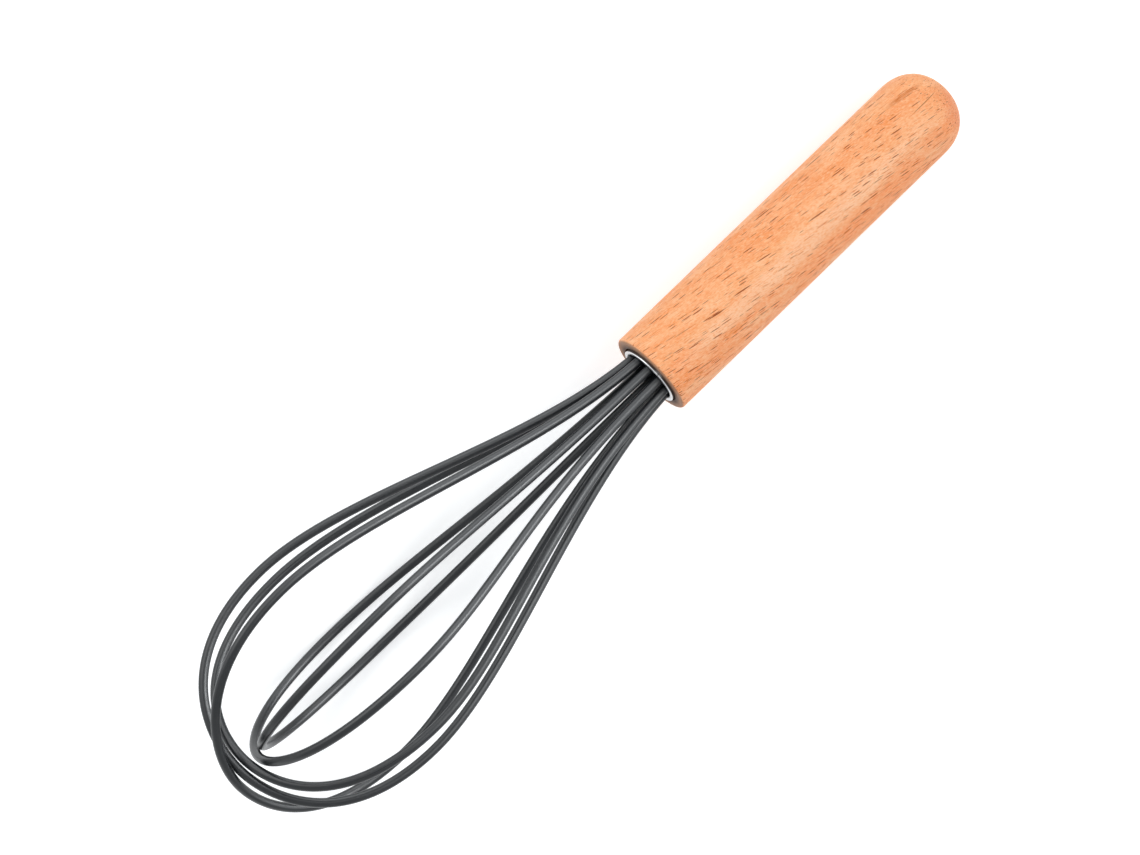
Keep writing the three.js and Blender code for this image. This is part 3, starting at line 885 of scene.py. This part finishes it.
def floor_sheet():
    """A flat grid at height zero."""
    step = np.linspace(-FLOOR_REACH, FLOOR_REACH, FLOOR_POINTS)
    x, y = np.meshgrid(step, step)
    points = np.column_stack([x.ravel(), y.ravel(), np.zeros(x.size)])
    mesh = bpy.data.meshes.new("floor")
    mesh.from_pydata(points.tolist(), [], grid_quads(FLOOR_POINTS, FLOOR_POINTS, False).tolist())
    mesh.materials.append(floor_finish())
    floor = bpy.data.objects.new("floor", mesh)
    bpy.context.scene.collection.objects.link(floor)
    return floor


floor = floor_sheet()
print("floor faces up:", floor.data.polygons[0].normal.z > 0)

# %% [markdown]
# A white room gives much of the light, with a wide lamp on the picture's left that casts the faint shadows.
# Another lamp, to the right of the handle, gives it its sheen. Dark gloss shows what stands round it, so the
# room that gloss sees has more in it: a pale wall beyond the handle, a bright window in it to the right, and
# a lighter side on the left. They draw the greys and streaks of the strands and add no light to the colours.

# %% The light
ROOM_LIGHT = 0.68
HANDLE_WALL_SHINE = 3.0
WINDOW_SHINE = 17.0
LEFT_SHINE = 1.4
ROOM_COLOUR, SHINE_COLOUR = (0.94, 0.975, 1.0, 1), (0.96, 0.985, 1.0, 1)
LAMP_COLOUR = (1.0, 0.985, 0.96)


def toward(world, direction, axis):
    """How far a direction points along an axis: the cosine of the angle between them."""
    sockets = {0: direction, 1: tuple(axis)}
    return add_node(world, "VectorMath", sockets, operation="DOT_PRODUCT").outputs["Value"]


def shine(world):
    """Brightness of the room as gloss sees it: 1, plus a wall with a window, and a left side."""
    direction = add_node(world, "TexCoord", {}).outputs["Generated"]
    handle_side = toward(world, direction, -to_balloon)
    right_side = toward(world, direction, to_right_hand)
    above_skirting = ramp(world, handle_side, 0.96, 0.88)
    wall = ramp(world, handle_side, 0.28, 0.58, 0.0, HANDLE_WALL_SHINE)
    frame_in = ramp(world, right_side, 0.14, 0.28)
    frame_out = ramp(world, right_side, 0.50, 0.36)
    window = math_of(world, "MULTIPLY", math_of(world, "MINIMUM", frame_in, frame_out),
                     ramp(world, handle_side, 0.5, 0.75, 0.0, WINDOW_SHINE))
    beyond = math_of(world, "MULTIPLY", math_of(world, "ADD", wall, window), above_skirting)
    left = ramp(world, right_side, -0.4, -0.8, 1.0, 1.0 + LEFT_SHINE)
    return math_of(world, "ADD", beyond, left)


def room():
    """White to the lens, the shining room to gloss, and an even light to everything else."""
    world = bpy.data.worlds.new("white_room")
    bpy.context.scene.world = world
    world.use_nodes = True
    even = world.node_tree.nodes["Background"]
    fill(world, even, {"Color": ROOM_COLOUR, "Strength": ROOM_LIGHT})
    white = add_node(world, "Background", {"Color": WHITE, "Strength": 1.0}).outputs[0]
    shown = add_node(world, "Background", {"Color": SHINE_COLOUR, "Strength": shine(world)}).outputs[0]
    lens, gloss = rays(world)
    unseen = add_node(world, "MixShader", {0: gloss, 1: even.outputs[0], 2: shown}).outputs[0]
    both = add_node(world, "MixShader", {0: lens, 1: unseen, 2: white}).outputs[0]
    world.node_tree.links.new(both, world.node_tree.nodes["World Output"].inputs["Surface"])


def soft_lamp(name, right, up, distance, across, lengthwise, brightness):
    """An area lamp aimed at the whisk, leaning right and up from the camera's line by these angles."""
    lean = math.tan(math.radians(right)) * picture_right - math.tan(math.radians(up)) * picture_down
    direction = (lean + to_camera) / np.linalg.norm(lean + to_camera)
    lamp = bpy.data.objects.new(name, bpy.data.lights.new(name, "AREA"))
    lamp.data.shape = "RECTANGLE"
    lamp.data.size, lamp.data.size_y = across, lengthwise
    lamp.data.color = LAMP_COLOUR
    lamp.data.energy = brightness * math.pi * across * lengthwise
    side = np.cross(to_balloon, direction)
    side /= np.linalg.norm(side)
    facing = Matrix(np.column_stack([side, np.cross(direction, side), direction])).to_4x4()
    lamp.matrix_world = Matrix.Translation(aim + distance * direction) @ facing
    bpy.context.scene.collection.objects.link(lamp)


room()
soft_lamp("left_lamp", right=-38, up=32, distance=1.3, across=1.0, lengthwise=1.0, brightness=1.85)
soft_lamp("right_lamp", right=36, up=7, distance=1.6, across=0.9, lengthwise=1.1, brightness=2.3)
